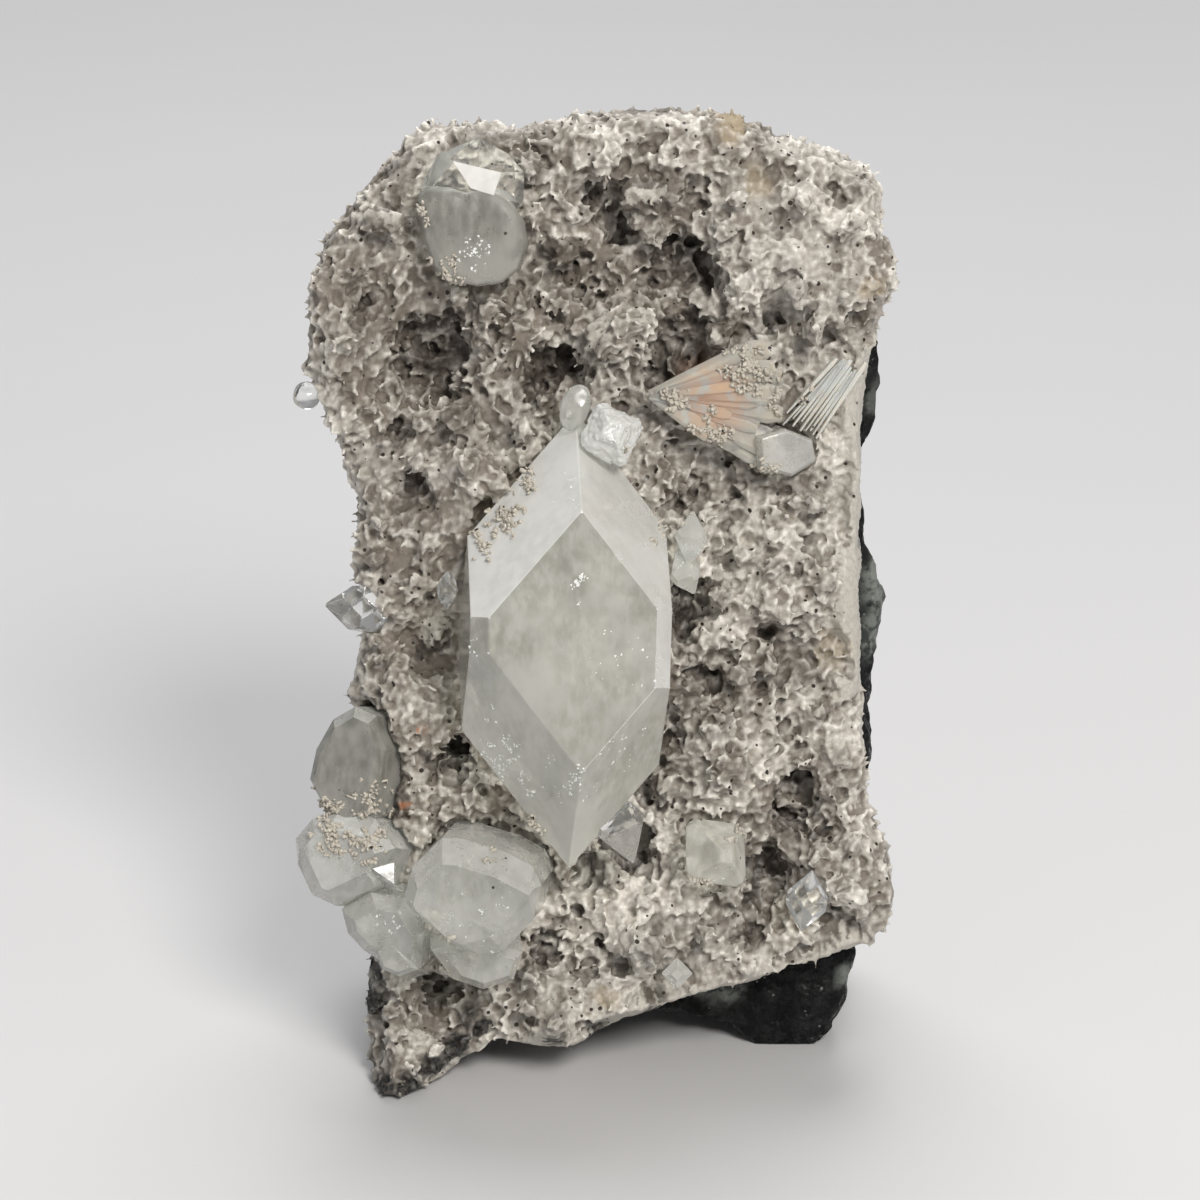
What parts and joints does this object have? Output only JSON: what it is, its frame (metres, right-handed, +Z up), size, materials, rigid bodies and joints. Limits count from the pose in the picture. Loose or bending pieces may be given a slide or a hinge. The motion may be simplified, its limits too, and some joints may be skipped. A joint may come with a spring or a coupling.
{
  "type": "apophyllite cluster",
  "caption": "Mineral specimen: pale green apophyllite crystals on a druse-lined slab of basalt that stands on its broken lower edge.",
  "frame": {"origin": "middle of the bounding box's underside, on the surface the specimen stands on", "axes": "+Z up, -Y out of the crystal-covered front, +X to the right seen from the front"},
  "size_m": [0.0518, 0.04, 0.0823],
  "materials": {
    "basalt": "rough broken, near black, with pale flecks",
    "druse": "waxy translucent grey-beige crystal crust with dark specks",
    "green_apophyllite": "glassy, cloudy, very pale green",
    "frosted_apophyllite": "grey-green, satin to glassy",
    "milky_apophyllite": "glassy with milky inside",
    "clear_apophyllite": "colourless and glassy",
    "stilbite": "pearly, peach to white"
  },
  "bodies": {
    "root": {"basalt_matrix": "basalt", "druse_crust": "druse", "main_apophyllite": "green_apophyllite", "green_lump_crystal": "green_apophyllite", "top_left_apophyllite": "frosted_apophyllite", "lower_left_cluster": "milky_apophyllite", "crown_crystal": "milky_apophyllite", "side_crystals": "milky_apophyllite", "low_rim_crystal": "milky_apophyllite", "grey_crystal": "frosted_apophyllite", "lower_centre_crystal": "clear_apophyllite", "pocket_crystal": "clear_apophyllite", "left_edge_crystal": "clear_apophyllite", "doubly_tipped_crystal": "clear_apophyllite", "edge_bead": "clear_apophyllite", "leaf_plate": "clear_apophyllite", "stilbite_spray": "stilbite", "striated_blades": "stilbite"}
  },
  "joints": []
}
